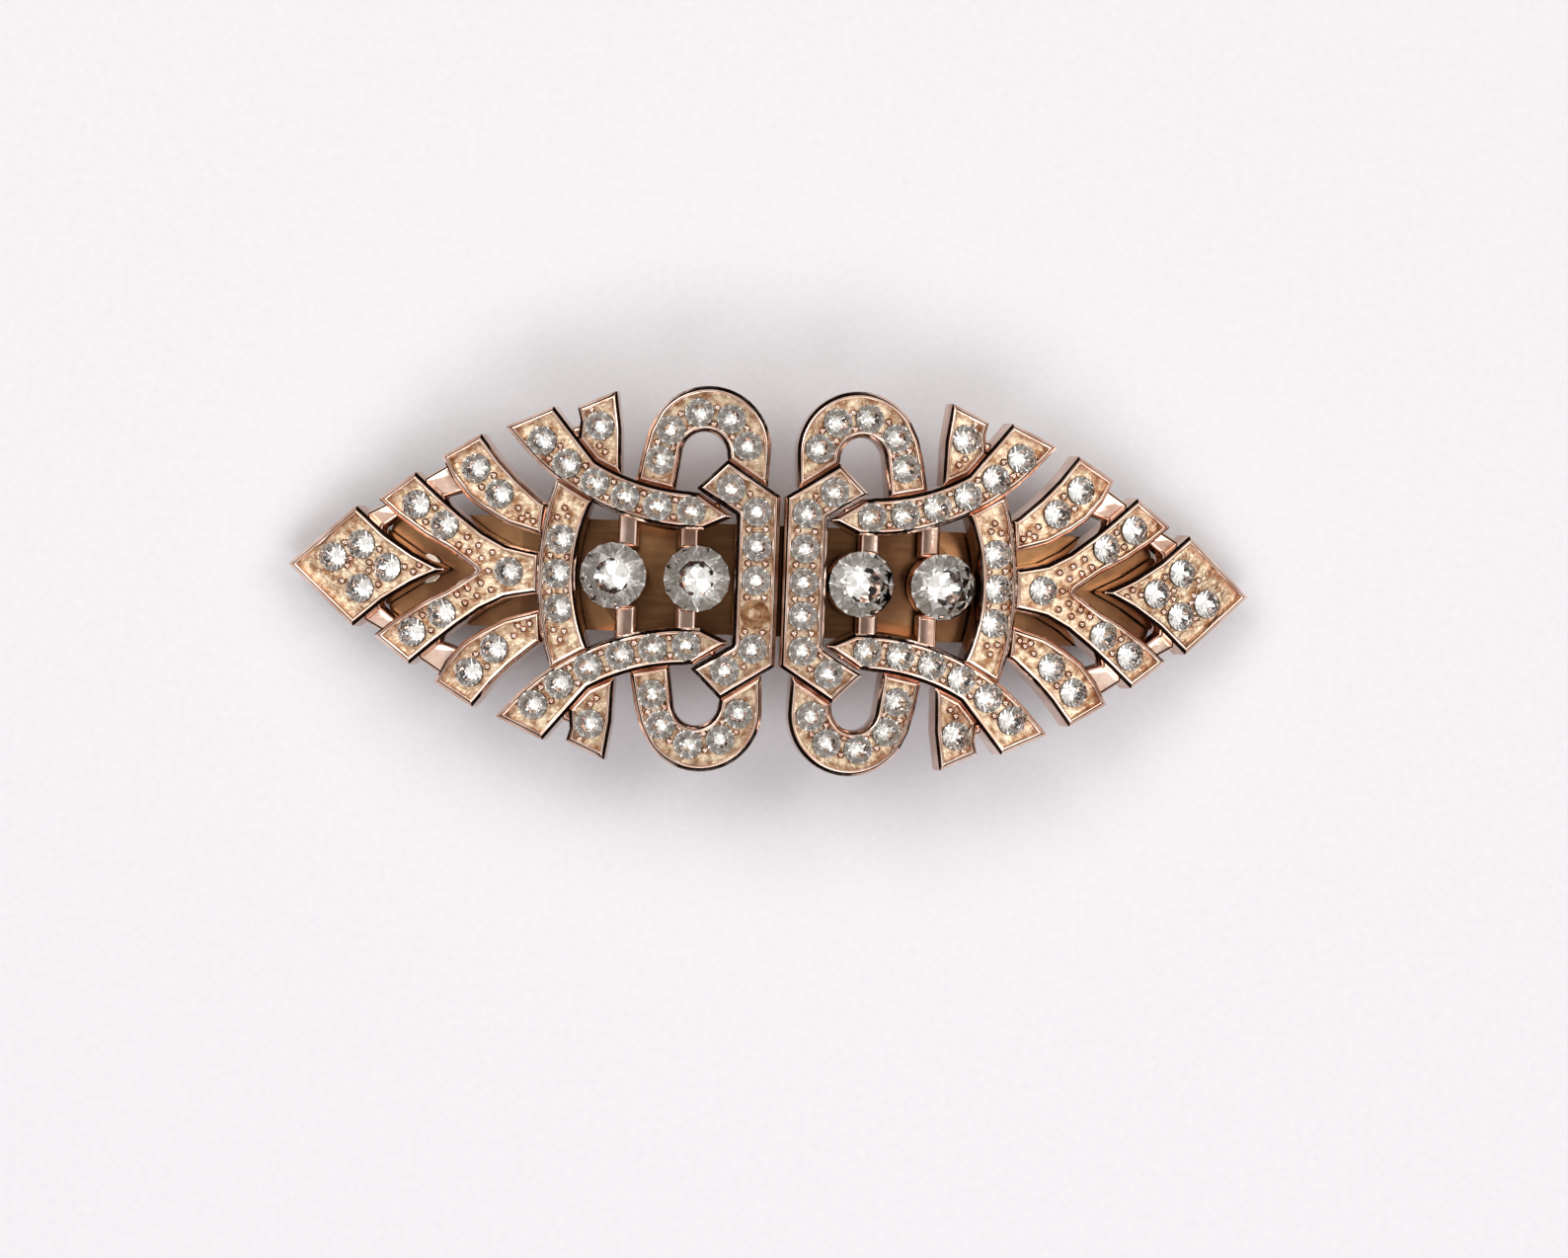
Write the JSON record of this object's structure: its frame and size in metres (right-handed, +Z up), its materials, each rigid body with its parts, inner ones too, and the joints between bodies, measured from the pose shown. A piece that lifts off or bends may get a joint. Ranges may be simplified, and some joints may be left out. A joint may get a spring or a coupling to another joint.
{
  "type": "rhinestone hair clip",
  "caption": "Domed Art Deco barrette: rose-gold castings set with clear rhinestones over a hinged clasp with a squeeze catch and a bowed tension bar.",
  "frame": {"origin": "on the table under the middle of the clip, with the clip lying on its clasp", "axes": "+X along the clip towards the hinge end, +Y across it, +Z up out of the stones"},
  "size_m": [0.0822, 0.0322, 0.0127],
  "materials": {
    "rose_gold_plate": "bright rose-gold plating on a zinc casting",
    "rhinestone": "clear faceted glass with silver foil behind",
    "solder": "dull soft solder",
    "plated_steel": "thin brassy plating on stamped steel",
    "spring_steel": "satin spring steel",
    "steel_wire": "drawn steel"
  },
  "bodies": {
    "clip": {"casting_right": "rose_gold_plate", "stones_diamond_right": "rhinestone", "stones_chevron_right": "rhinestone", "stones_blade_top_right": "rhinestone", "stones_blade_bottom_right": "rhinestone", "stones_loop_top_right": "rhinestone", "stones_loop_bottom_right": "rhinestone", "stones_tip_top_right": "rhinestone", "stones_tip_bottom_right": "rhinestone", "stones_band_right": "rhinestone", "stones_arc_top_right": "rhinestone", "stones_arc_bottom_right": "rhinestone", "stones_bracket_right": "rhinestone", "large_stone_inner_right": "rhinestone", "large_stone_outer_right": "rhinestone", "solder_inner_right": "solder", "solder_outer_right": "solder", "casting_left": "rose_gold_plate", "stones_diamond_left": "rhinestone", "stones_chevron_left": "rhinestone", "stones_blade_top_left": "rhinestone", "stones_blade_bottom_left": "rhinestone", "stones_loop_top_left": "rhinestone", "stones_loop_bottom_left": "rhinestone", "stones_tip_top_left": "rhinestone", "stones_tip_bottom_left": "rhinestone", "stones_band_left": "rhinestone", "stones_arc_top_left": "rhinestone", "stones_arc_bottom_left": "rhinestone", "stones_bracket_left": "rhinestone", "large_stone_inner_left": "rhinestone", "large_stone_outer_left": "rhinestone", "solder_inner_left": "solder", "solder_outer_left": "solder", "base_plate": "plated_steel", "hinge_pin": "steel_wire", "catch_base": "plated_steel", "catch_rivet": "steel_wire"},
    "arm": {"clasp_arm": "plated_steel"},
    "leg_back": {"catch_leg_back": "plated_steel"},
    "leg_front": {"catch_leg_front": "plated_steel"},
    "bar": {"tension_bar": "spring_steel"}
  },
  "joints": [
    {"name": "clasp_hinge", "type": "hinge", "parent": "clip", "child": "arm", "pos_m": [0.0301, 0, 0.0019], "axis": [0, -1, 0], "range_deg": [0, 80]},
    {"name": "catch_squeeze_back", "type": "hinge", "parent": "clip", "child": "leg_back", "pos_m": [-0.0289, 0.0022, 0.003], "axis": [-1, 0, 0], "range_deg": [0, 13], "stiffness_Nm_per_rad": 0.04},
    {"name": "catch_squeeze_front", "type": "hinge", "parent": "clip", "child": "leg_front", "pos_m": [-0.0289, -0.0022, 0.003], "axis": [1, 0, 0], "range_deg": [0, 13], "stiffness_Nm_per_rad": 0.04},
    {"name": "tension_bar_press", "type": "slide", "parent": "clip", "child": "bar", "axis": [0, 0, 1], "range_m": [0, 0.0005], "stiffness_N_per_m": 4000}
  ]
}
